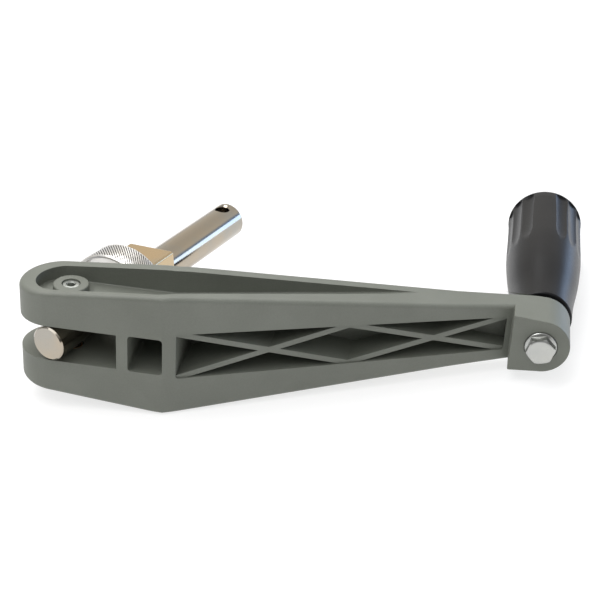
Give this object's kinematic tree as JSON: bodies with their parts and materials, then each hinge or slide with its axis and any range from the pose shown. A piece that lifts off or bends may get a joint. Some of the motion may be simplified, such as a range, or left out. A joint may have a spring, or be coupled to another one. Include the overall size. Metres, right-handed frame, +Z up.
{
  "type": "winch handle",
  "caption": "Folding winch crank handle: moulded ribbed arm with a turning grip and a round drive rod that folds in a fork, locked by a knurled nut.",
  "frame": {"origin": "centre of the flat end face of the drive rod", "axes": "+Z up along the fold pin; +X along the arm towards the grip; the drive rod points to the origin from (-0.040, -0.114, 0), 70.7 degrees from +X"},
  "size_m": [0.2228, 0.167, 0.0522],
  "materials": {
    "arm_plastic": "fine moulded grain",
    "grip_plastic": "satin",
    "plated_steel": "bright zinc plate",
    "knurled_steel": "knurled, zinc plate",
    "fastener_steel": "zinc plate",
    "bronze": "sintered",
    "acetal": "smooth",
    "nylon": "smooth"
  },
  "bodies": {
    "drive": {"drive_rod": "plated_steel", "square_sleeve": "plated_steel"},
    "nut": {"lock_collar": "knurled_steel"},
    "arm": {"arm_body": "arm_plastic", "ear_bush_upper": "bronze", "ear_bush_lower": "bronze", "pivot_pin": "fastener_steel", "pivot_screw_upper": "fastener_steel", "pivot_screw_lower": "fastener_steel", "barrel_bush": "fastener_steel", "axle_bolt": "fastener_steel", "arm_washer": "fastener_steel", "axle_sleeve": "fastener_steel", "end_washer": "fastener_steel", "lock_nut": "fastener_steel", "nut_insert": "nylon"},
    "grip": {"grip_body": "grip_plastic", "grip_bush_near": "acetal", "grip_bush_far": "acetal", "grip_end_cap": "grip_plastic"}
  },
  "joints": [
    {"name": "fold", "type": "hinge", "parent": "drive", "child": "arm", "pos_m": [-0.03999, -0.1142, 0], "axis": [0, 0, 1], "range_deg": [-222, 1.5]},
    {"name": "nut_turn", "type": "hinge", "parent": "drive", "child": "nut", "pos_m": [-0.02942, -0.084, 0], "axis": [0.3305, 0.9438, 0], "range_deg": [-360, 0]},
    {"name": "grip_spin", "type": "hinge", "parent": "arm", "child": "grip", "pos_m": [0.14551, -0.0613, 0], "axis": [0, 1, 0], "continuous": true}
  ]
}
